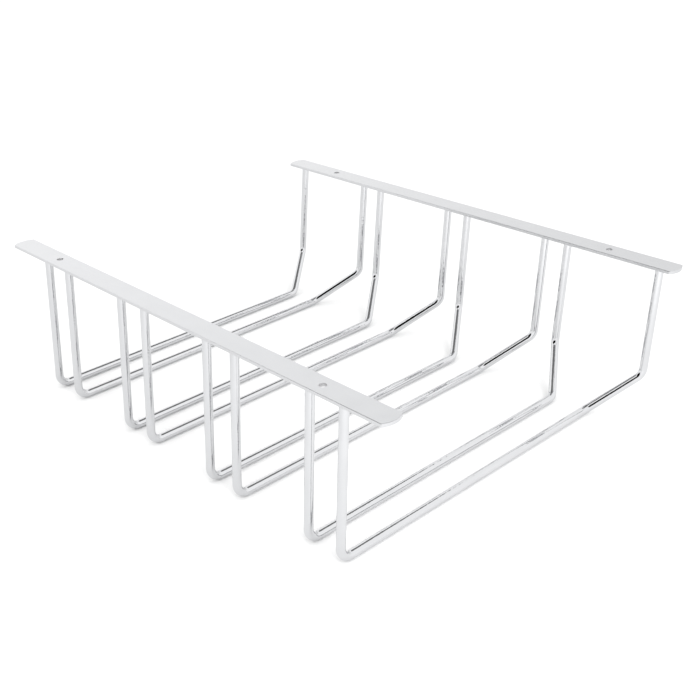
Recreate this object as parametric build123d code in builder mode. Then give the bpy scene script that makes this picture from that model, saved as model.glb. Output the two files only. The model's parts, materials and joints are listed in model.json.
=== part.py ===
from build123d import *
import os

# Under-shelf hanging rack for stemmed glasses: two flat bars and eight bent wires in four channels.
#
# Frame: the origin is the centre of the four screw holes, on the top plane of the bars. +X runs along
# the bars, +Y points from the stop bar to the entry bar, where the glasses slide in, and +Z points up
# into the shelf that the rack is screwed to.

# ---------------------------------------------------------------- bars
bar_width = 18.0
bar_thickness = 2.5
bar_edge_radius = 0.4          # broken edge all round both faces
bar_end_bulge = 3.0            # how far the arc at each end stands out past its own corners
bar_corner_radius = 1.2        # where that arc meets the long sides
bar_spacing = 300.0            # stop bar's centreline to entry bar's centreline
bar_overhang = 16.0            # outermost wire's centreline to the tip of the bar
screw_hole_diameter = 5.0
screw_inset = 3.5              # how far the screw holes stand inside the outer channels' centrelines

# ---------------------------------------------------------------- channels
channel_count = 4
channel_pitch = 105.0
stem_gap = 24.0                # clear width between the two wires of a channel
neighbour_gap = 15.5           # clear width between neighbouring channels at the entry bar

# ---------------------------------------------------------------- wires
wire_diameter = 6.5
drop = 116.0                   # top of the bars down to the centreline of the straight runs
stop_lean = 9.0                # how far the stop uprights' feet stand outside the stop bar's centreline
entry_lean = 10.0              # how far the entry uprights' feet stand inside the entry bar's centreline
flare_length = 37.0            # length along Y of the stretch that spreads and rises
flare_rise = 27.0              # height that the same stretch gains
stop_bend_radius = 8.5         # bend radii are on the wire's centreline
flare_bend_radius = 12.0
entry_bend_radius = 10.0

# ---------------------------------------------------------------- welds
weld_leg = 2.0                 # fillet's reach along the wire and along the bar
weld_toe = 0.3                 # blunt thickness at both ends of the fillet

# ---------------------------------------------------------------- sizes worked out from the above
wire_radius = wire_diameter / 2
underside = -bar_thickness
stop_bar_y = -bar_spacing / 2
entry_bar_y = bar_spacing / 2
stop_half_gap = (stem_gap + wire_diameter) / 2
entry_half_gap = (channel_pitch - neighbour_gap - wire_diameter) / 2
run_z = -drop
stop_foot_y = stop_bar_y - stop_lean
entry_foot_y = entry_bar_y - entry_lean
flare_start_y = entry_foot_y - flare_length
flare_end_z = run_z + flare_rise
channel_centres = [(index - (channel_count - 1) / 2) * channel_pitch for index in range(channel_count)]
outer_centre = channel_centres[-1]
bar_length = 2 * (outer_centre + entry_half_gap + bar_overhang)
bar_tip_x = bar_length / 2
bar_shoulder_x = bar_tip_x - bar_end_bulge
bar_side_y = bar_width / 2
screw_spacing = 2 * (outer_centre - screw_inset)
sides = {"left": -1, "right": 1}
under_bar = Plane.XY.offset(underside)

os.makedirs("parts", exist_ok=True)


def wire_corners(centre, sign):
    """Corner points of one wire's centreline, from the stop bar to the entry bar."""
    stop_x = centre + sign * stop_half_gap
    entry_x = centre + sign * entry_half_gap
    return [
        Vector(stop_x, stop_bar_y, underside),
        Vector(stop_x, stop_foot_y, run_z),
        Vector(stop_x, flare_start_y, run_z),
        Vector(entry_x, entry_foot_y, flare_end_z),
        Vector(entry_x, entry_bar_y, underside),
    ]


def past_end(end, inner):
    """Point one wire diameter beyond a wire's end, so that the end can be cut flush with the bar."""
    return end + (end - inner).normalized() * wire_diameter


# ---------------------------------------------------------------- the two bars
for bar_name, bar_y in (("stop_bar", stop_bar_y), ("entry_bar", entry_bar_y)):
    with BuildPart() as bar:
        with BuildSketch(Plane((0, bar_y, underside))) as outline:
            with BuildLine():
                Line((-bar_shoulder_x, -bar_side_y), (bar_shoulder_x, -bar_side_y))
                ThreePointArc((bar_shoulder_x, -bar_side_y), (bar_tip_x, 0), (bar_shoulder_x, bar_side_y))
                Line((bar_shoulder_x, bar_side_y), (-bar_shoulder_x, bar_side_y))
                ThreePointArc((-bar_shoulder_x, bar_side_y), (-bar_tip_x, 0), (-bar_shoulder_x, -bar_side_y))
            make_face()
            fillet(outline.vertices(), radius=bar_corner_radius)
        extrude(amount=bar_thickness)
        flat_faces = bar.faces().filter_by(Axis.Z)
        fillet(flat_faces.edges(), radius=bar_edge_radius)
        with GridLocations(screw_spacing, 0, 2, 1):
            with Locations((0, bar_y, 0)):
                Hole(screw_hole_diameter / 2)
    bar.part.label = bar_name
    export_step(bar.part, f"parts/{bar_name}.step")

# ---------------------------------------------------------------- the eight wires
for number, centre in enumerate(channel_centres, start=1):
    for side, sign in sides.items():
        corners = wire_corners(centre, sign)
        route = [past_end(corners[0], corners[1])] + corners[1:-1] + [past_end(corners[-1], corners[-2])]
        wire_name = f"channel_{number}_{side}_wire"
        with BuildPart() as wire:
            with BuildLine() as centreline:
                FilletPolyline(*route, radius=[stop_bend_radius, flare_bend_radius, entry_bend_radius])
            with BuildSketch(Plane(centreline.line @ 0, z_dir=centreline.line % 0)):
                Circle(wire_radius)
            sweep()
            split(bisect_by=under_bar, keep=Keep.BOTTOM)
        wire.part.label = wire_name
        export_step(wire.part, f"parts/{wire_name}.step")

# ---------------------------------------------------------------- weld fillets under each bar
for weld_name, end, inner in (("stop_bar_welds", 0, 1), ("entry_bar_welds", -1, -2)):
    with BuildPart() as welds:
        for centre in channel_centres:
            for sign in sides.values():
                corners = wire_corners(centre, sign)
                along = (corners[end] - corners[inner]).normalized()
                section = Plane(corners[end], x_dir=(1, 0, 0), z_dir=Vector(1, 0, 0).cross(along))
                with BuildSketch(section):
                    with BuildLine():
                        Polyline(
                            (wire_radius + weld_leg, -weld_toe),
                            (wire_radius + weld_leg, weld_leg),
                            (wire_radius, weld_leg),
                            (wire_radius, -weld_leg),
                            (wire_radius + weld_toe, -weld_leg),
                        )
                        RadiusArc(
                            (wire_radius + weld_toe, -weld_leg),
                            (wire_radius + weld_leg, -weld_toe),
                            weld_leg - weld_toe,
                        )
                    make_face()
                revolve(axis=Axis(corners[end], along))
        split(bisect_by=under_bar, keep=Keep.BOTTOM)
    welds.part.label = weld_name
    export_step(welds.part, f"parts/{weld_name}.step")
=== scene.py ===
"""Looks of an under-shelf hanging rack for stemmed glasses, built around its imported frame.

The rack is two flat bars, eight bent wires in four channels and the weld beads that join them, all
chrome plated. Every piece is a surface worked out with numpy, placed by the boxes of the CAD nodes
that it stands for, and every length is in metres.
"""
import functools
import json
import logging
import math
from dataclasses import dataclass, field
from enum import Enum
from typing import Any, Iterator

import bpy
import numpy as np
from mathutils import Matrix, Vector


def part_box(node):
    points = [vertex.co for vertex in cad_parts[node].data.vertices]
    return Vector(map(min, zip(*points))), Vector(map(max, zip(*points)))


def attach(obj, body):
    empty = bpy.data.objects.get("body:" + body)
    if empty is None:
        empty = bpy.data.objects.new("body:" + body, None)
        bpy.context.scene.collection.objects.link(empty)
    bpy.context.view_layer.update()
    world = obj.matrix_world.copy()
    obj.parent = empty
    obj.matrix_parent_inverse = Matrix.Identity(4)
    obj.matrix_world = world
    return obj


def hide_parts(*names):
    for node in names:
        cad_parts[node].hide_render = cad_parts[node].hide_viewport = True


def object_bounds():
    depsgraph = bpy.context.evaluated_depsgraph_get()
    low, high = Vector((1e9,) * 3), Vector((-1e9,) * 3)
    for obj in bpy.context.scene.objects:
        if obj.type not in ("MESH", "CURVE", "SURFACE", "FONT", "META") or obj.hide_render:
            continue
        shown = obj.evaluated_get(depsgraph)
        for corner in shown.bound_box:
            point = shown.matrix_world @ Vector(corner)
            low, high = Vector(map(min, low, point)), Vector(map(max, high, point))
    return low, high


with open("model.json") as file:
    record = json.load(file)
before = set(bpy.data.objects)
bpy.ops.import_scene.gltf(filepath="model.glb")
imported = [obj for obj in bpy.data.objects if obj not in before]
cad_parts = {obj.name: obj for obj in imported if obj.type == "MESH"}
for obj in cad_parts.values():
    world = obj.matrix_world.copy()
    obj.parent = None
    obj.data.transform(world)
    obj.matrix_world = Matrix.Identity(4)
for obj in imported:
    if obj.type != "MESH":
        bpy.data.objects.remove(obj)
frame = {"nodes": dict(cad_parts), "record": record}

Array = np.ndarray
Colour = tuple[float, float, float, float]

log = logging.getLogger("rack")

CAD_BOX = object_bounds()
BODY = "root"
CHART = "chart"
# Mask of painted shade on the bar rims and in the screw holes, where it also stands for thinner
# plate; it darkens the plate colour toward the steel colour.
BARE_AND_SHADE = "bare_and_shade"
MILLIMETRE = 0.001
WELD_DISTANCE = 1e-4 * MILLIMETRE
ACROSS = np.array([1.0, 0.0, 0.0])
UP = np.array([0.0, 0.0, 1.0])


class BarPlace(Enum):
    """Which of the two bars a piece belongs to."""

    STOP = "stop_bar"
    ENTRY = "entry_bar"


class WireSide(Enum):
    """Which wire of a channel, seen from the stop bar."""

    LEFT = "left"
    RIGHT = "right"

    @property
    def outward(self) -> float:
        """Sign of the way this wire flares, along X."""
        return -1.0 if self is WireSide.LEFT else 1.0


class Grain(Enum):
    """How fine marks lie on a plated surface."""

    ALONG_BAR = "along_bar"
    ALONG_WIRE = "along_wire"
    NONE = "none"


# ---------------------------------------------------------------- surfaces


@dataclass
class Patch:
    """A surface on a two-parameter grid.

    Attributes:
        points: Corner places, rows by columns by 3.
        normals: Outward unit normals on the same grid, or None to work them out from the grid.
        chart: Flat coordinates in metres, rows + wrap by columns + wrap by 2, or None.
        bare_and_shade: Share of painted shade here, from 0 to 1, which in a hole also stands for
            thinner plate.
        wrap_rows: True if the last row joins the first.
        wrap_columns: True if the last column joins the first.
    """

    points: Array
    normals: Array | None = None
    chart: Array | None = None
    bare_and_shade: float = 0.0
    wrap_rows: bool = False
    wrap_columns: bool = False

    def grid_normals(self) -> Array:
        """The normals given, or the column direction crossed with the row direction at each point.

        A direction at a point is half the difference of its two neighbours, and at an edge the
        difference from the only one.

        Returns:
            Unit normals, rows by columns by 3.
        """
        if self.normals is not None:
            return self.normals
        slopes = []
        for axis, wrap in ((0, self.wrap_rows), (1, self.wrap_columns)):
            if wrap:
                slopes.append(np.roll(self.points, -1, axis) - np.roll(self.points, 1, axis))
            else:
                slopes.append(np.gradient(self.points, axis=axis))
        return unit(np.cross(slopes[1], slopes[0]))

    def quads(self) -> tuple[Array, Array, Array]:
        """Corner numbers of every face, with the normals and the chart places of the same corners.

        A face at row i and column j has the corners (i, j), (i, j+1), (i+1, j+1) and (i+1, j), and
        a wrapped direction counts past its end back to its start. The face's outward side is where
        the column direction crossed with the row direction points.

        Returns:
            Faces by 4 corner numbers, by 4 by 3 normals, and by 4 by 2 chart places.
        """
        rows, columns = self.points.shape[:2]
        i, j = np.meshgrid(
            np.arange(rows if self.wrap_rows else rows - 1),
            np.arange(columns if self.wrap_columns else columns - 1),
            indexing="ij",
        )
        steps = ((0, 0), (0, 1), (1, 1), (1, 0))
        corner = [((i + a) % rows) * columns + (j + b) % columns for a, b in steps]
        faces = np.stack(corner, axis=-1).reshape(-1, 4)
        normals = self.grid_normals().reshape(-1, 3)[faces]
        if self.chart is None:
            return faces, normals, np.zeros((len(faces), 4, 2))
        places = [self.chart[i + a, j + b] for a, b in steps]
        return faces, normals, np.stack(places, axis=-2).reshape(-1, 4, 2)


@dataclass
class Shell:
    """Several patches that make one closed piece."""

    name: str
    patches: list[Patch] = field(default_factory=list)

    def build(self) -> bpy.types.Object:
        """Joins the patches into one mesh and welds the places they share.

        Two corners are one where they lie within a tenth of a micrometre. A quad that a pole folds
        to three corners becomes a triangle. Each face keeps its own corner normals, so a sharp edge
        stays sharp on a closed mesh.

        Returns:
            The new object, at the origin, with its place in its mesh.
        """
        corners, faces, normals, charts, bare_and_shade, first = [], [], [], [], [], 0
        for patch in self.patches:
            patch_faces, patch_normals, patch_chart = patch.quads()
            corners.append(patch.points.reshape(-1, 3))
            faces.append(patch_faces + first)
            normals.append(patch_normals)
            charts.append(patch_chart)
            bare_and_shade.append(np.full(len(patch_faces), patch.bare_and_shade))
            first += len(corners[-1])
        places, quads = np.concatenate(corners), np.concatenate(faces)
        keys = np.round(places / WELD_DISTANCE).astype(np.int64)
        _, keep, alias = np.unique(keys, axis=0, return_index=True, return_inverse=True)
        quads = alias.reshape(-1)[quads]
        different = quads != np.roll(quads, 1, axis=1)
        different &= (different.sum(axis=1) >= 3)[:, None]
        counts = different.sum(axis=1)
        kept, counts = counts > 0, counts[counts > 0]

        mesh = bpy.data.meshes.new(self.name)
        mesh.vertices.add(len(keep))
        mesh.vertices.foreach_set("co", places[keep].astype(np.float32).ravel())
        mesh.loops.add(int(counts.sum()))
        mesh.loops.foreach_set("vertex_index", quads[different].astype(np.int32))
        mesh.polygons.add(len(counts))
        starts = np.concatenate(([0], np.cumsum(counts)[:-1]))
        mesh.polygons.foreach_set("loop_start", starts.astype(np.int32))
        mesh.polygons.foreach_set("use_smooth", np.ones(len(counts), bool))
        chart = np.concatenate(charts)[different].astype(np.float32)
        mesh.uv_layers.new(name=CHART).uv.foreach_set("vector", chart.ravel())
        # Per-face share of painted shade, which in the holes also stands for thinner plate.
        bare_and_shade_layer = mesh.attributes.new(name=BARE_AND_SHADE, type="FLOAT", domain="FACE")
        bare_and_shade_layer.data.foreach_set("value", np.concatenate(bare_and_shade)[kept].astype(np.float32))
        mesh.update(calc_edges=True)
        mesh.normals_split_custom_set(np.concatenate(normals)[different].tolist())
        piece = bpy.data.objects.new(self.name, mesh)
        bpy.context.scene.collection.objects.link(piece)
        return piece


def unit(vectors: Array) -> Array:
    """Vectors of length one along the last axis."""
    return vectors / np.linalg.norm(vectors, axis=-1, keepdims=True)


def rounded_route(corners: Array, radii: list[float], arc_steps: int, run_step: float) -> Array:
    """Points along straight runs joined by tangent arcs.

    At a corner with incoming direction d and outgoing direction e, turned by the angle w, the arc
    starts radius * tan(w / 2) before the corner. Its point at angle a is start + radius * (sin(a) *
    d + (1 - cos(a)) * n), where n is the unit part of e square to d.

    Args:
        corners: The route's corner points, one row each.
        radii: Arc radius at each inner corner.
        arc_steps: Steps in each arc.
        run_step: Longest step along a straight run.

    Returns:
        Points by 3, evenly spaced on each run and each arc.
    """
    directions = unit(np.diff(corners, axis=0))
    pieces: list[Array] = []
    run_start = corners[0]
    for index, radius in enumerate(radii):
        into, out = directions[index], directions[index + 1]
        turn = math.acos(float(np.clip(into @ out, -1.0, 1.0)))
        arc_start = corners[index + 1] - radius * math.tan(turn / 2) * into
        inward = unit(out - (out @ into) * into)
        pieces.append(straight_run(run_start, arc_start, run_step))
        angle = np.linspace(0.0, turn, arc_steps, endpoint=False)[:, None]
        pieces.append(arc_start + radius * (np.sin(angle) * into + (1 - np.cos(angle)) * inward))
        run_start = corners[index + 1] + radius * math.tan(turn / 2) * out
    pieces.append(straight_run(run_start, corners[-1], run_step))
    pieces.append(corners[-1:])
    return np.concatenate(pieces)


def straight_run(start: Array, end: Array, step: float) -> Array:
    """Evenly spaced points from one place up to, but not at, another.

    Args:
        start: The first point.
        end: Where the points stop short.
        step: Longest distance between two points.

    Returns:
        At least two points, one row each.
    """
    count = max(2, math.ceil(float(np.linalg.norm(end - start)) / step))
    share = np.linspace(0.0, 1.0, count, endpoint=False)[:, None]
    return start + share * (end - start)


def tube(route: Array, radius: float, around: int, side_hint: Array) -> list[Patch]:
    """A round rod along a route, closed by a flat disc at each end.

    Around each route point with tangent t, the ring's point at angle a is centre + radius * (cos(a)
    * u + sin(a) * w), where u is the part of the hint square to t and w = t x u. A disc is the end
    ring drawn in to its centre in two steps.

    Args:
        route: Centreline points.
        radius: Rod radius.
        around: Points round each ring.
        side_hint: A direction that the route never runs along.

    Returns:
        The rod, with a chart of metres along by metres round, and its two end discs.
    """
    tangent = unit(np.gradient(route, axis=0))
    u = unit(side_hint - (tangent @ side_hint)[:, None] * tangent)
    w = np.cross(tangent, u)
    angle = np.linspace(0.0, 2 * np.pi, around, endpoint=False)
    ring = np.cos(angle)[None, :, None] * u[:, None] + np.sin(angle)[None, :, None] * w[:, None]
    along = np.concatenate(([0.0], np.cumsum(np.linalg.norm(np.diff(route, axis=0), axis=1))))
    round_about = np.linspace(0.0, 2 * np.pi * radius, around + 1)
    chart = np.stack(np.meshgrid(along, round_about, indexing="ij"), axis=-1)
    patches = [Patch(route[:, None] + radius * ring, ring, chart, wrap_columns=True)]
    share = np.array([0.0, 0.5, 1.0])[:, None, None]
    for index, order in ((0, slice(None)), (-1, slice(None, None, -1))):
        disc = route[index] + share * radius * ring[index]
        facing = np.broadcast_to(tangent[index] * (-1.0 if index == 0 else 1.0), disc.shape)
        patches.append(Patch(disc[order], facing, wrap_columns=True))
    return patches


# ---------------------------------------------------------------- shader sums


@dataclass(frozen=True)
class Signal:
    """A shader socket that takes part in Python sums; each sum adds its Math node."""

    sheet: "NodeSheet"
    socket: bpy.types.NodeSocket

    def _sum(self, operation: str, first: Any, second: Any) -> "Signal":
        """One Math node."""
        return self.sheet.node("ShaderNodeMath", {"operation": operation}, {0: first, 1: second})

    def __add__(self, other: Any) -> "Signal":
        """Self plus other."""
        return self._sum("ADD", self, other)

    __radd__ = __add__

    def __sub__(self, other: Any) -> "Signal":
        """Self minus other."""
        return self._sum("SUBTRACT", self, other)

    def __rsub__(self, other: Any) -> "Signal":
        """Other minus self."""
        return self._sum("SUBTRACT", other, self)

    def __mul__(self, other: Any) -> "Signal":
        """Self times other."""
        return self._sum("MULTIPLY", self, other)

    __rmul__ = __mul__

    def __pow__(self, other: Any) -> "Signal":
        """Self to the power of other."""
        return self._sum("POWER", self, other)

    def __rpow__(self, other: Any) -> "Signal":
        """Other to the power of self."""
        return self._sum("POWER", other, self)


class NodeSheet:
    """A node tree that is filled by one method."""

    def __init__(self, tree: bpy.types.NodeTree) -> None:
        """Starts from an empty tree."""
        tree.nodes.clear()
        self.tree = tree

    def node(
        self,
        kind: str,
        settings: dict[str, Any] | None = None,
        inputs: dict[str | int, Any] | None = None,
        output: str | int = 0,
    ) -> Signal:
        """Adds one node.

        Args:
            kind: The node's Blender type.
            settings: Attributes, which are set first.
            inputs: Socket name or number to a value or a Signal.
            output: Name or number of the output that is handed on.

        Returns:
            The chosen output; a node without outputs hands on its first input.
        """
        made = self.tree.nodes.new(kind)
        for name, value in (settings or {}).items():
            setattr(made, name, value)
        for name, value in (inputs or {}).items():
            if isinstance(value, Signal):
                self.tree.links.new(value.socket, made.inputs[name])
            else:
                made.inputs[name].default_value = value
        return Signal(self, made.outputs[output] if len(made.outputs) else made.inputs[0])

    def mix(self, factor: Any, first: Any, second: Any) -> Signal:
        """A colour from first to second as factor goes from 0 to 1."""
        settings = {"data_type": "RGBA"}
        return self.node("ShaderNodeMix", settings, {0: factor, 6: first, 7: second}, 2)

    def noise(self, place: Signal, scale: float, detail: float, roughness: float = 0.5) -> Signal:
        """Smooth noise from 0 to 1 over a vector."""
        inputs = {"Vector": place, "Scale": scale, "Detail": detail, "Roughness": roughness}
        return self.node("ShaderNodeTexNoise", None, inputs, "Fac")

    def stretch(self, place: Signal, scale: tuple[float, float, float]) -> Signal:
        """A vector with each part multiplied by its own number."""
        return self.node("ShaderNodeVectorMath", {"operation": "MULTIPLY"}, {0: place, 1: scale})


# ---------------------------------------------------------------- finishes


@dataclass(frozen=True)
class ChromePlate:
    """Bright chrome over steel, with fine marks of how the steel was made.

    Attributes:
        name: The record's slot; the material is called this with _plate after it.
        light: Plate colour where it is cleanest.
        dull: Plate colour where it is thinner or handled.
        polish: Roughness of the cleanest plate.
        haze: Roughness added where it is dull.
        steel_and_shade: Colour that the mask darkens toward: painted shade on a bar's rim, painted
            shade and thinner plate inside a hole.
        grain: Direction of the marks.
        grain_depth: Height of the marks.
        grain_pitch: Distance between marks across the grain.
        wave_depth: Height of the slow waves that the steel keeps under the plate.
        wave_pitch: Length of those waves.
        grain_stretch: Length of a mark in widths of itself.
        blotches_per_metre: How many blotches of wear lie in a metre.
        blotch_share: Share of the wear that the blotches make.
        mark_share: Share of the wear that the marks make.
        bare_and_shade_haze: Roughness added where the mask of painted shade and thinner plate is
            set.
    """

    name: str
    light: Colour
    dull: Colour
    polish: float
    haze: float
    steel_and_shade: Colour
    grain: Grain
    grain_depth: float
    grain_pitch: float
    wave_depth: float
    wave_pitch: float
    grain_stretch: float = 60.0
    blotches_per_metre: float = 55.0
    blotch_share: float = 0.6
    mark_share: float = 0.4
    bare_and_shade_haze: float = 0.3

    def _grain_place(self, sheet: NodeSheet) -> Signal:
        """Coordinates stretched so that noise over them draws marks along the grain.

        Args:
            sheet: The material's node tree.

        Returns:
            A vector that grows by one from mark to mark across the grain.
        """
        across, along = 1 / self.grain_pitch, 1 / (self.grain_pitch * self.grain_stretch)
        if self.grain is Grain.ALONG_WIRE:
            chart = sheet.node("ShaderNodeUVMap", {"uv_map": CHART})
            return sheet.stretch(chart, (along, across, 0.0))
        place = sheet.node("ShaderNodeTexCoord", output="Object")
        if self.grain is Grain.ALONG_BAR:
            return sheet.stretch(place, (along, across, across))
        return sheet.stretch(place, (across, across, across))

    @functools.cache
    def material(self) -> bpy.types.Material:
        """Builds the node material once.

        Returns:
            A metal whose colour and roughness drift between clean and dull plate, with grain and
            slow waves as its bump.
        """
        made = bpy.data.materials.new(self.name + "_plate")
        made.use_nodes = True
        sheet = NodeSheet(made.node_tree)
        place = sheet.node("ShaderNodeTexCoord", output="Object")
        blotches = sheet.noise(place, self.blotches_per_metre, detail=3.0)
        marks = sheet.noise(self._grain_place(sheet), 1.0, detail=2.0, roughness=0.6)
        waves = sheet.noise(place, 1 / self.wave_pitch, detail=3.0)
        wear = blotches * self.blotch_share + marks * self.mark_share
        # Painted shade: the mesh's mask darkens the bar rims and the screw holes toward the steel
        # colour and roughens them; in the holes it also stands for thinner plate.
        bare_and_shade = sheet.node("ShaderNodeAttribute", {"attribute_name": BARE_AND_SHADE}, output="Fac")
        height = marks * self.grain_depth + waves * self.wave_depth
        relief = {"Strength": 1.0, "Distance": 1.0, "Height": height}
        bump = sheet.node("ShaderNodeBump", None, relief)
        plate = sheet.mix(wear, self.light, self.dull)
        metal = sheet.node(
            "ShaderNodeBsdfPrincipled",
            None,
            {
                # Darkened toward the steel colour by the mask: painted shade, and thinner plate in
                # holes.
                "Base Color": sheet.mix(bare_and_shade, plate, self.steel_and_shade),
                "Metallic": 1.0,
                "Roughness": wear * self.haze + bare_and_shade * self.bare_and_shade_haze + self.polish,
                "Normal": bump,
            },
        )
        sheet.node("ShaderNodeOutputMaterial", None, {"Surface": metal})
        return made


@dataclass(frozen=True)
class MattePaint:
    """An even matte surface for what stands round the rack."""

    name: str
    colour: Colour

    @functools.cache
    def material(self) -> bpy.types.Material:
        """Builds the node material once.

        Returns:
            A plain material without gloss.
        """
        made = bpy.data.materials.new(self.name)
        made.use_nodes = True
        sheet = NodeSheet(made.node_tree)
        inputs = {"Base Color": self.colour, "Roughness": 1.0, "Specular IOR Level": 0.0}
        surface = sheet.node("ShaderNodeBsdfPrincipled", None, inputs)
        sheet.node("ShaderNodeOutputMaterial", None, {"Surface": surface})
        return made


BAR_CHROME = ChromePlate(
    name="bar_chrome",
    light=(0.61, 0.615, 0.627, 1.0),
    dull=(0.56, 0.565, 0.577, 1.0),
    polish=0.12,
    haze=0.12,
    # Colour of the painted shade on the rim and in the holes, where it also stands for thinner
    # plate.
    steel_and_shade=(0.55, 0.55, 0.56, 1.0),
    grain=Grain.ALONG_BAR,
    grain_depth=0.6e-6,
    grain_pitch=0.35 * MILLIMETRE,
    wave_depth=4e-6,
    wave_pitch=30 * MILLIMETRE,
)
WIRE_CHROME = ChromePlate(
    name="wire_chrome",
    light=(0.65, 0.655, 0.667, 1.0),
    dull=(0.565, 0.57, 0.582, 1.0),
    polish=0.01,
    haze=0.03,
    steel_and_shade=(0.3, 0.3, 0.31, 1.0),
    grain=Grain.ALONG_WIRE,
    grain_depth=1.0e-6,
    grain_pitch=0.5 * MILLIMETRE,
    wave_depth=100e-6,
    wave_pitch=4 * MILLIMETRE,
)
WELD_CHROME = ChromePlate(
    name="weld_chrome",
    light=(0.60, 0.605, 0.617, 1.0),
    dull=(0.47, 0.475, 0.49, 1.0),
    polish=0.14,
    haze=0.22,
    steel_and_shade=(0.3, 0.3, 0.31, 1.0),
    grain=Grain.NONE,
    grain_depth=25e-6,
    grain_pitch=0.6 * MILLIMETRE,
    wave_depth=20e-6,
    wave_pitch=2.5 * MILLIMETRE,
)
FLOOR_WHITE = MattePaint("floor_white", (0.78, 0.78, 0.78, 1.0))
FLAG_BLACK = MattePaint("flag_black", (0.004, 0.004, 0.004, 1.0))
FLAG_GREY = MattePaint("flag_grey", (0.21, 0.21, 0.21, 1.0))


# ---------------------------------------------------------------- the rack's pieces


def adopt(piece: bpy.types.Object, node: str, finish: ChromePlate) -> bpy.types.Object:
    """Dresses a finished piece and lets it stand for its CAD node.

    Args:
        piece: The new object.
        node: The CAD node that it replaces.
        finish: Its plate.

    Returns:
        The same object.
    """
    piece.data.materials.append(finish.material())
    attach(piece, BODY)
    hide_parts(node)
    log.info("%s stands for %s, %d faces", piece.name, node, len(piece.data.polygons))
    return piece


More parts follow.
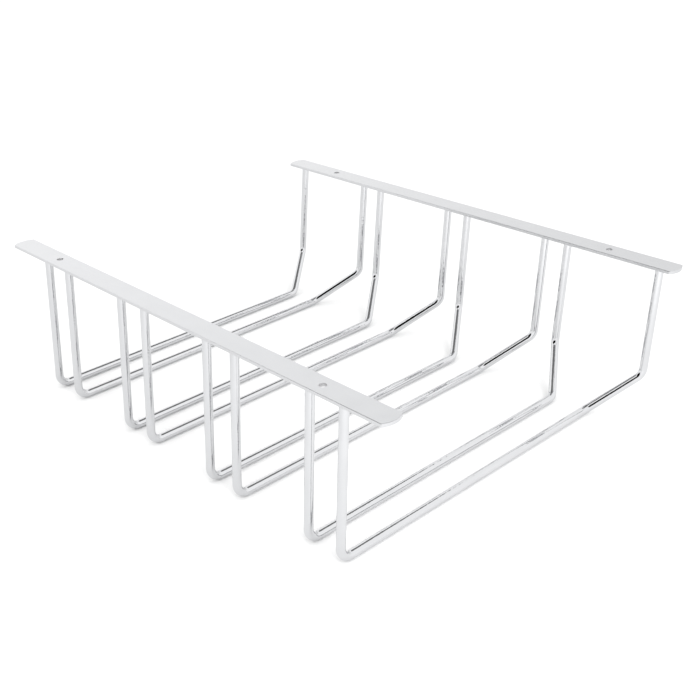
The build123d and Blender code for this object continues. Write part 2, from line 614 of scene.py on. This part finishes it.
@dataclass
class FlatBar:
    """A flat strip with shallow arc ends, softly broken edges and two screw holes.

    Attributes:
        place: Which bar.
        hole_spacing: Distance between the two screw holes.
        hole_radius: Screw hole radius.
        end_bulge: How far the arc at each end stands out past its own corners.
        corner_radius: Radius where that arc meets the long sides.
        edge_radius: Radius on the outer edges.
        hole_edge_radius: Radius on the holes' edges.
        rim_painted_shade: Share of painted shade on the rim, from 0 to 1.
        hole_bare_and_shade: Share of painted shade and thinner plate inside the holes.
        across: Grid steps from the middle of the strip to its edge.
        edge_steps: Grid steps round an edge.
        strip_step: Longest grid step along the plain strip.
    """

    place: BarPlace
    hole_spacing: float
    hole_radius: float
    end_bulge: float = 3.0 * MILLIMETRE
    corner_radius: float = 1.2 * MILLIMETRE
    edge_radius: float = 0.4 * MILLIMETRE
    hole_edge_radius: float = 0.2 * MILLIMETRE
    # Painted shade on the rim; painted shade and thinner plate in the holes.
    rim_painted_shade: float = 0.15
    hole_bare_and_shade: float = 1.0
    across: int = 10
    edge_steps: int = 5
    strip_step: float = 9 * MILLIMETRE

    def __post_init__(self) -> None:
        """Reads the strip's size and place from its CAD node."""
        low, high = (np.array(corner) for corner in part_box(self.place.value))
        self.centre = (low + high) / 2
        self.top, self.bottom = float(high[2]), float(low[2])
        side, tip = float(high[1] - low[1]) / 2, float(high[0] - low[0]) / 2
        self.half_width = side - self.edge_radius
        self.end_radius = (side**2 + self.end_bulge**2) / (2 * self.end_bulge)
        self.end_centre = tip - self.end_radius
        self.strip_end = tip - 2 * self.end_bulge

    def build(self) -> bpy.types.Object:
        """Makes both faces, the rim and the holes.

        Returns:
            The bar as one closed piece.
        """
        patches: list[Patch] = []
        for height, facing in ((self.top, 1.0), (self.bottom, -1.0)):
            patches += [self._level(grid, height, facing) for grid in self._face_grids()]
        patches.append(self._wall(self._outline(), self.edge_radius, outward=True))
        for hole_x in self._hole_places():
            ring = self._hole_ring(hole_x)
            patches.append(self._wall(ring, self.hole_edge_radius, outward=False))
        return Shell(self.place.value + "_plate", patches).build()

    def _stops(self) -> list[float]:
        """Where the plain stretches start and stop along the strip, in order."""
        sides = [x + end * self.half_width for x in self._hole_places() for end in (-1.0, 1.0)]
        return [-self.strip_end] + sides + [self.strip_end]

    def _hole_places(self) -> tuple[float, float]:
        """Where the holes' centres stand along the strip."""
        return -self.hole_spacing / 2, self.hole_spacing / 2

    def _steps(self) -> Array:
        """Shares from -1 to 1 across the strip, sin(a) for even a, which crowd at its sides."""
        return np.sin(np.linspace(-np.pi / 2, np.pi / 2, 2 * self.across + 1))

    def _end_edge(self) -> tuple[Array, Array]:
        """The face's edge at the right end, from the near side to the far side.

        With the end arc's radius R, the corner's radius r and the half width w, all less the broken
        edge, the corner's centre stands sqrt((R - r)^2 - (w - r)^2) from the arc's, at w - r from
        the middle. At y the edge is on the arc up to (w - r) * R / (R - r) and on the corner beyond
        it.

        Returns:
            Points by 2 on the edge and the unit normals out of the metal there.
        """
        arc, corner = self.end_radius - self.edge_radius, self.corner_radius - self.edge_radius
        y = self._steps() * self.half_width
        pivot_y = self.half_width - corner
        pivot_x = math.sqrt((arc - corner) ** 2 - pivot_y**2)
        on_corner = np.abs(y) > pivot_y * arc / (arc - corner)
        past = np.abs(y) - pivot_y
        x = np.where(
            on_corner,
            pivot_x + np.sqrt(np.maximum(corner**2 - past**2, 0.0)),
            np.sqrt(arc**2 - y**2),
        )
        normal = np.where(
            on_corner[:, None],
            np.stack((x - pivot_x, np.sign(y) * past), -1) / corner,
            np.stack((x, y), -1) / arc,
        )
        return np.stack((x + self.end_centre, y), -1), normal

    def _strip_places(self, start: float, end: float) -> Array:
        """Grid places along a plain stretch of the strip."""
        steps = math.ceil((end - start) / self.strip_step)
        return np.linspace(start, end, max(1, steps) + 1)

    def _square(self, hole_x: float) -> Array:
        """Points round the square cell of a hole, anticlockwise from its lower left corner.

        Each side has the same steps as the strip has across, so that the cell meets the plain
        stretches corner to corner.

        Args:
            hole_x: The hole's centre along the strip.

        Returns:
            Points by 2.
        """
        share = self._steps()[:-1]
        one = np.ones_like(share)
        loop = np.concatenate(
            (np.stack((share, -one), 1), np.stack((one, share), 1),
             np.stack((-share, one), 1), np.stack((-one, -share), 1))
        )
        return loop * self.half_width + np.array([hole_x, 0.0])

    def _hole_ring(self, hole_x: float) -> tuple[Array, Array]:
        """Points round a hole's face edge, in the directions of its cell's points.

        Args:
            hole_x: The hole's centre along the strip.

        Returns:
            Points by 2, and the unit normals out of the metal there.
        """
        towards = unit(self._square(hole_x) - np.array([hole_x, 0.0]))
        radius = self.hole_radius + self.hole_edge_radius
        return towards * radius + np.array([hole_x, 0.0]), -towards

    def _face_grids(self) -> Iterator[tuple[Array, bool]]:
        """Flat grids that tile a face: two arc ends, two hole cells and three plain stretches.

        An end's grid runs straight along the strip from the arc to where the plain stretch stops. A
        cell's runs straight from its square in to the hole's edge. A plain stretch is even steps
        along by the strip's own steps across.

        Yields:
            Rows by columns by 2 points, and whether the columns wrap.
        """
        share = np.linspace(0.0, 1.0, self.across + 1)[:, None, None]
        edge = self._end_edge()[0]
        start = np.stack((np.full(len(edge), self.strip_end), edge[:, 1]), -1)
        for end in (-1.0, 1.0):
            yield end * (edge + share * (start - edge)), False
        for hole_x in self._hole_places():
            inner = self._hole_ring(hole_x)[0]
            yield inner + (1 - share) * (self._square(hole_x) - inner), True
        stops = self._stops()
        for start, end in zip(stops[::2], stops[1::2]):
            along, across = self._strip_places(start, end), -self._steps() * self.half_width
            yield np.stack(np.meshgrid(along, across, indexing="ij"), -1), False

    def _level(self, grid: tuple[Array, bool], height: float, facing: float) -> Patch:
        """A flat grid laid at a height.

        Args:
            grid: Rows by columns by 2 points, and whether the columns wrap.
            height: Where it lies.
            facing: 1 to face up, -1 to face down.

        Returns:
            The patch.
        """
        flat, wrap = grid
        level = np.full(flat.shape[:2] + (1,), height)
        points = np.concatenate((flat + self.centre[:2], level), -1)
        if facing < 0:
            points = points[::-1]
        normals = np.broadcast_to(UP * facing, points.shape)
        return Patch(points, normals=np.array(normals), wrap_columns=wrap)

    def _outline(self) -> tuple[Array, Array]:
        """The face's outer edge, anticlockwise, through every grid corner on it.

        Returns:
            Points by 2, and the unit normals out of the metal there.
        """
        share = np.linspace(1.0, 0.0, self.across + 1)[:-1]
        end_edge, end_normal = self._end_edge()
        shoulder = self.strip_end + share * (end_edge[0, 0] - self.strip_end)
        stops = self._stops()
        along = [-shoulder]
        for number, (start, end) in enumerate(zip(stops[:-1], stops[1:])):
            is_cell = number % 2 == 1
            places = self._steps() * self.half_width + (start + end) / 2
            along.append((places if is_cell else self._strip_places(start, end))[:-1])
        along.append(np.append(shoulder, self.strip_end)[:0:-1])
        edge = np.concatenate(along)
        lower = np.stack((edge, np.full_like(edge, -self.half_width)), -1)
        points = np.concatenate((lower, end_edge[:-1], -lower, -end_edge[:-1]))
        down = np.broadcast_to(np.array([0.0, -1.0]), lower.shape)
        return points, np.concatenate((down, end_normal[:-1], -down, -end_normal[:-1]))

    def _wall(self, edge: tuple[Array, Array], rounding: float, outward: bool) -> Patch:
        """A wall from the top face's edge to the bottom face's, with a quarter round at each.

        At angle a from straight up, the round's point is edge + rounding * (sin(a) * outward normal
        - (1 - cos(a)) * up).

        Args:
            edge: Points on the face's edge and the normals out of the metal there.
            rounding: The quarter rounds' radius.
            outward: True on the outer rim, False in a hole.

        Returns:
            A patch of wall rows by edge columns, wrapped round the edge.
        """
        flat, normal = edge
        angle = np.linspace(0.0, np.pi / 2, self.edge_steps + 1)
        reach = np.concatenate((np.sin(angle), np.sin(angle)[::-1]))[:, None, None]
        upward = np.concatenate((np.cos(angle), -np.cos(angle)[::-1]))[:, None]
        drop = rounding * (1 - np.cos(angle))
        height = np.concatenate((self.top - drop, self.bottom + drop[::-1]))[:, None]
        level = flat[None] + self.centre[:2] + rounding * reach * normal[None]
        column = level.shape[:2] + (1,)
        points = np.concatenate((level, np.broadcast_to(height[..., None], column)), -1)
        up_part = np.broadcast_to(upward[..., None], column)
        normals = np.concatenate((reach * normal[None], up_part), -1)
        # The rim gets painted shade and a hole's wall gets painted shade with thinner plate,
        # through the mask.
        if outward:
            return Patch(points[::-1], normals[::-1], bare_and_shade=self.rim_painted_shade, wrap_columns=True)
        return Patch(points, normals, bare_and_shade=self.hole_bare_and_shade, wrap_columns=True)


@dataclass
class ChannelWire:
    """One bent wire of a channel.

    Attributes:
        channel: Channel number, from 1.
        side: Which wire of the channel.
        radius: Wire radius.
        stop_lean: How far the stop upright's foot stands outside the stop bar's middle.
        entry_lean: How far the entry upright's foot stands inside the entry bar's middle.
        flare_length: Length along Y of the stretch that spreads and rises.
        flare_rise: Height that it gains.
        bend_radii: Radii at the stop bend, where the flare starts, and at the entry bend.
        around: Points round the wire.
        arc_steps: Grid steps in each bend.
        run_step: Longest grid step along a straight run.
    """

    channel: int
    side: WireSide
    radius: float = 3.25 * MILLIMETRE
    stop_lean: float = 9 * MILLIMETRE
    entry_lean: float = 10 * MILLIMETRE
    flare_length: float = 37 * MILLIMETRE
    flare_rise: float = 27 * MILLIMETRE
    bend_radii: tuple[float, float, float] = (8.5 * MILLIMETRE, 12 * MILLIMETRE, 10 * MILLIMETRE)
    around: int = 56
    arc_steps: int = 22
    run_step: float = 6 * MILLIMETRE

    @property
    def node(self) -> str:
        """Name of the CAD node."""
        return f"channel_{self.channel}_{self.side.value}_wire"

    def corners(self) -> Array:
        """Corner points of the centreline, from the stop bar's underside to the entry bar's.

        Returns:
            Five points by 3.
        """
        low, high = (np.array(corner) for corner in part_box(self.node))
        inner, outer = low[0] + self.radius, high[0] - self.radius
        stop_x, entry_x = (inner, outer) if self.side is WireSide.RIGHT else (outer, inner)
        run_z, under_bar = low[2] + self.radius, high[2]
        stop_y, entry_y = bar_middle(BarPlace.STOP), bar_middle(BarPlace.ENTRY)
        entry_foot_y = entry_y - self.entry_lean
        return np.array([
            [stop_x, stop_y, under_bar],
            [stop_x, stop_y - self.stop_lean, run_z],
            [stop_x, entry_foot_y - self.flare_length, run_z],
            [entry_x, entry_foot_y, run_z + self.flare_rise],
            [entry_x, entry_y, under_bar],
        ])

    def build(self) -> bpy.types.Object:
        """Carries a circle along the bent centreline.

        Returns:
            The wire as one closed piece.
        """
        radii = list(self.bend_radii)
        route = rounded_route(self.corners(), radii, self.arc_steps, self.run_step)
        return Shell(self.node + "_rod", tube(route, self.radius, self.around, ACROSS)).build()


@dataclass
class WeldBeads:
    """The small uneven fillets that join a bar's underside to its wire ends.

    Attributes:
        place: Which bar.
        wires: The wires whose ends are welded.
        leg: Reach of the fillet along the wire and along the bar.
        toe: Radius of the soft lip at both ends of the fillet.
        unevenness: Share by which the leg shrinks round the wire where the bead is thinnest.
        lobes: Thick places round the wire of the two waves that make it uneven.
        lobe_shares: Shares of those waves.
        channel_phase: Turn of the waves, in radians, from one channel to the next.
        side_phase: Turn of the waves from a channel's middle to either wire.
        buried: Depth in the wire of the bead's hidden side, in wire radii.
        around: Points round the wire.
        arc_steps: Steps in each arc of the section.
    """

    place: BarPlace
    wires: list[ChannelWire]
    leg: float = 2 * MILLIMETRE
    toe: float = 0.25 * MILLIMETRE
    unevenness: float = 0.3
    lobes: tuple[int, int] = (2, 5)
    lobe_shares: tuple[float, float] = (0.3, 0.2)
    channel_phase: float = 2.4
    side_phase: float = 1.1
    buried: float = 0.3
    around: int = 72
    arc_steps: int = 6

    def build(self) -> bpy.types.Object:
        """Makes one ring-shaped bead for each wire end."""
        patches = [patch for wire in self.wires for patch in self._bead(wire)]
        return Shell(self.place.value + "_beads", patches).build()

    def _section(self, reach: Array) -> tuple[Array, Array]:
        """The fillet's section: a convex lip, a concave quarter circle and another lip.

        With the lip's radius t and the arc's radius r = reach - 2 * t, the first lip is
        (t * sin(b), reach - t + t * cos(b)), the arc (reach - t - r * cos(a), reach - t - r *
        sin(a)) and the second lip (reach - t + t * sin(b), t * cos(b)), each from 0 to a right
        angle.

        Args:
            reach: The leg round the wire, as a column.

        Returns:
            Distance out from the wire's skin and down from the bar, each turn by section.
        """
        turn = np.linspace(0.0, np.pi / 2, self.arc_steps + 1)[None]
        sine, cosine = np.sin(turn), np.cos(turn)
        radius, inner = reach - 2 * self.toe, reach - self.toe
        low = np.zeros_like(reach)
        out = (low + self.toe * sine, inner - radius * cosine[:, 1:-1], inner + self.toe * sine)
        down = (inner + self.toe * cosine, inner - radius * sine[:, 1:-1], low + self.toe * cosine)
        return np.concatenate(out, axis=1), np.concatenate(down, axis=1)

    def _bead(self, wire: ChannelWire) -> list[Patch]:
        """A closed bead round one wire end.

        A section point is end + (wire radius + out) * level - down * axis, where level is the
        direction away from the wire, slid along its axis until it lies in the bar's face. Round the
        wire the reach is leg * (1 - unevenness * wave), where the wave is 0.5 plus two sines and
        stays between 0 and 1, and the sines' phases come from the wire's channel and side.

        Args:
            wire: The wire that the bead holds.

        Returns:
            The visible fillet, and the hidden side that closes it through the wire.
        """
        corners = wire.corners() if self.place is BarPlace.STOP else wire.corners()[::-1]
        axis = unit(corners[0] - corners[1])
        u = unit(ACROSS - axis[0] * axis)
        turn = np.linspace(0.0, 2 * np.pi, self.around, endpoint=False)[:, None]
        phase = self.channel_phase * wire.channel + self.side_phase * wire.side.outward
        slow = self.lobe_shares[0] * np.sin(self.lobes[0] * turn + phase)
        quick = self.lobe_shares[1] * np.sin(self.lobes[1] * turn + 2 * phase)
        out, down = self._section(self.leg * (1 - self.unevenness * (0.5 + slow + quick)))
        buried = np.full_like(turn, -self.buried * wire.radius)
        closing_out = np.concatenate((out[:, :1], buried, buried, out[:, -1:]), axis=1)
        closing_down = down[:, [0, 0, -1, -1]]
        away = np.cos(turn) * u + np.sin(turn) * np.cross(axis, u)
        level = (away - away[:, 2:] / axis[2] * axis)[:, None]
        ring = []
        for reach, depth in ((out[:, ::-1], down[:, ::-1]), (closing_out, closing_down)):
            away_part = (wire.radius + reach[..., None]) * level
            ring.append(Patch(corners[0] + away_part - depth[..., None] * axis, wrap_rows=True))
        return ring


def bar_middle(place: BarPlace) -> float:
    """Y of a bar's centreline."""
    low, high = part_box(place.value)
    return (low[1] + high[1]) / 2


# ---------------------------------------------------------------- studio


def heading(azimuth: float, height: float) -> Array:
    """Unit direction from two angles in degrees.

    Args:
        azimuth: Angle from +X towards +Y.
        height: Angle above the floor.

    Returns:
        The point (cos(height) * cos(azimuth), cos(height) * sin(azimuth), sin(height)).
    """
    turn, rise = math.radians(azimuth), math.radians(height)
    flat = math.cos(rise)
    return np.array([flat * math.cos(turn), flat * math.sin(turn), math.sin(rise)])


@dataclass
class Studio:
    """Floor, daylight, dark flags that the chrome mirrors, and the camera.

    Angles are in degrees. An azimuth turns from +X towards +Y.

    Attributes:
        camera_place: Where the camera stands.
        camera_azimuth: Azimuth of its view.
        camera_tilt: Angle of its view above the floor.
        camera_roll: Turn about its view.
        lens: Focal length in millimetres.
        sensor_width: Sensor's width in millimetres.
        floor_radius: Half the floor's side.
        daylight: Brightness of the surround.
        wall_shade: Share of it that is missing at the grey wall.
        wall_azimuth: Azimuth of the grey wall.
        wall_height: Angle of the wall's middle above the floor.
        wall_focus: How fast the grey fades away from its middle.
        sun_strength: Strength of the sun.
        sun_softness: The sun's own width.
        sun_azimuth: Azimuth of the sun.
        sun_height: Angle of the sun above the floor.
        panel_place: Where the soft panel stands; it faces the origin.
        panel_size: Its side.
        panel_power: Its power in watts.
        front_azimuths: Where the front flag starts and ends.
        front_heights: Its lower and upper edge.
        front_radius: Its distance from the middle.
        front_columns: Grid points along it.
        overhead_centre: Middle of the overhead flag.
        overhead_radii: Its pinhole and its rim.
        overhead_columns: Grid points round it.
    """

    camera_place: tuple[float, float, float] = (0.58002, -0.52164, 0.30391)
    camera_azimuth: float = 137.169
    camera_tilt: float = -26.444
    camera_roll: float = -2.108
    lens: float = 54.852
    sensor_width: float = 36.0
    floor_radius: float = 8.0
    daylight: float = 1.35
    wall_shade: float = 0.33
    wall_azimuth: float = 105.0
    wall_height: float = 0.0
    wall_focus: float = 6.0
    sun_strength: float = 0.3
    sun_softness: float = 35.0
    sun_azimuth: float = 20.0
    sun_height: float = 55.0
    panel_place: tuple[float, float, float] = (0.95, -0.35, 0.45)
    panel_size: float = 0.5
    panel_power: float = 6.0
    front_azimuths: tuple[float, float] = (-140.0, -38.0)
    front_heights: tuple[float, float] = (0.55, 2.4)
    front_radius: float = 1.6
    front_columns: int = 28
    overhead_centre: tuple[float, float, float] = (-0.85, 0.55, 2.0)
    overhead_radii: tuple[float, float] = (0.001, 1.25)
    overhead_columns: int = 49

    def build(self) -> None:
        """Makes everything round the rack."""
        self._camera()
        self._daylight()
        self._lamps()
        self._floor()
        self._front_flag()
        self._overhead_flag()

    def _camera(self) -> None:
        """Puts the camera where it looks along its heading and tilt, with its roll."""
        roll = math.radians(self.camera_roll)
        ahead = heading(self.camera_azimuth, self.camera_tilt)
        level = unit(np.cross(ahead, UP))
        upright = np.cross(level, ahead)
        right = math.cos(roll) * level + math.sin(roll) * upright
        above = math.cos(roll) * upright - math.sin(roll) * level
        data = bpy.data.cameras.new("camera")
        data.lens = self.lens
        data.sensor_width = self.sensor_width
        camera = bpy.data.objects.new("camera", data)
        turn = Matrix(np.column_stack((right, above, -ahead)).tolist()).to_4x4()
        camera.matrix_world = Matrix.Translation(self.camera_place) @ turn
        bpy.context.scene.collection.objects.link(camera)
        bpy.context.scene.camera = camera

    def _daylight(self) -> None:
        """A white surround, a little greyer towards one wall.

        The surround's brightness in a direction d is daylight * (1 - wall_shade * max(0, d . w) ^
        wall_focus), where w points to the grey wall.
        """
        world = bpy.data.worlds.new("studio")
        world.use_nodes = True
        bpy.context.scene.world = world
        sheet = NodeSheet(world.node_tree)
        direction = sheet.node("ShaderNodeTexCoord", output="Generated")
        wall = tuple(heading(self.wall_azimuth, self.wall_height))
        dot = {"operation": "DOT_PRODUCT"}
        towards = sheet.node("ShaderNodeVectorMath", dot, {0: direction, 1: wall}, "Value")
        facing = sheet.node("ShaderNodeMath", {"operation": "MAXIMUM"}, {0: towards, 1: 0.0})
        strength = (1 - facing**self.wall_focus * self.wall_shade) * self.daylight
        glow = {"Color": (1.0, 1.0, 1.0, 1.0), "Strength": strength}
        sky = sheet.node("ShaderNodeBackground", None, glow)
        sheet.node("ShaderNodeOutputWorld", None, {"Surface": sky})
        bpy.context.scene.view_settings.view_transform = "Standard"

    def _lamps(self) -> None:
        """A soft sun and a square panel at the right, which don't show in mirrors."""
        sun = bpy.data.lights.new("soft_sun", "SUN")
        sun.energy = self.sun_strength
        sun.angle = math.radians(self.sun_softness)
        panel = bpy.data.lights.new("panel", "AREA")
        panel.energy = self.panel_power
        panel.size = self.panel_size
        sun_place, panel_place = heading(self.sun_azimuth, self.sun_height), self.panel_place
        for light, place in ((sun, sun_place), (panel, panel_place)):
            lamp = bpy.data.objects.new(light.name, light)
            lamp.location = place
            lamp.rotation_euler = Vector(place).to_track_quat("Z", "Y").to_euler()
            lamp.visible_glossy = False
            bpy.context.scene.collection.objects.link(lamp)

    def _stand(self, name: str, points: Array, finish: MattePaint) -> bpy.types.Object:
        """A stage surface from a grid of points.

        Args:
            name: The object's name.
            points: Rows by columns by 3.
            finish: Its paint.

        Returns:
            The new object.
        """
        piece = Shell(name, [Patch(points)]).build()
        piece.data.materials.append(finish.material())
        return piece

    def _floor(self) -> None:
        """A wide pale floor under the lowest point of the rack."""
        level = CAD_BOX[0][2]
        reach = self.floor_radius * np.array([-1.0, 1.0])
        x, y = np.meshgrid(reach, reach, indexing="ij")
        points = np.stack((x, y, np.full_like(x, level)), -1)[::-1]
        self._stand("floor", points, FLOOR_WHITE)

    def _front_flag(self) -> None:
        """A dark card on the camera's side, bent round the Z axis, seen only in mirrors."""
        angle = np.radians(np.linspace(*self.front_azimuths, self.front_columns))[:, None]
        height = np.array([self.front_heights])
        x, y = self.front_radius * np.cos(angle), self.front_radius * np.sin(angle)
        self._flag("front_flag", np.stack(np.broadcast_arrays(x, y, height), -1), FLAG_BLACK)

    def _overhead_flag(self) -> None:
        """A dark round card high overhead, seen only in mirrors."""
        angle = np.linspace(0.0, 2 * np.pi, self.overhead_columns)[:, None]
        radius = np.array([self.overhead_radii])
        middle_x, middle_y, height = self.overhead_centre
        x, y = radius * np.cos(angle) + middle_x, radius * np.sin(angle) + middle_y
        self._flag("overhead_flag", np.stack(np.broadcast_arrays(x, y, height), -1), FLAG_GREY)

    def _flag(self, name: str, points: Array, finish: MattePaint) -> None:
        """A card that hides from everything but reflections.

        Args:
            name: The object's name.
            points: Rows by columns by 3.
            finish: Its paint.
        """
        card = self._stand(name, points, finish)
        card.visible_camera = False
        card.visible_diffuse = False
        card.visible_shadow = False
        card.visible_transmission = False


# ---------------------------------------------------------------- main


def channel_count() -> int:
    """How many channels the frame has."""
    return sum(node.endswith("left_wire") for node in frame["nodes"])


def main() -> None:
    """Builds the rack and its studio."""
    logging.basicConfig(level=logging.INFO, format="%(name)s: %(message)s")
    screws = next(m for m in frame["record"]["mounts"] if m["kind"] == "bolt_pattern")["dims"]
    for place in BarPlace:
        bar = FlatBar(
            place,
            hole_spacing=screws["spacing_x_mm"] * MILLIMETRE,
            hole_radius=screws["hole_r_mm"] * MILLIMETRE,
        )
        adopt(bar.build(), place.value, BAR_CHROME)
    channels = range(1, channel_count() + 1)
    wires = [ChannelWire(channel, side) for channel in channels for side in WireSide]
    for wire in wires:
        adopt(wire.build(), wire.node, WIRE_CHROME)
    for place in BarPlace:
        adopt(WeldBeads(place, wires).build(), place.value + "_welds", WELD_CHROME)
    Studio().build()


if __name__ == "__main__":
    main()
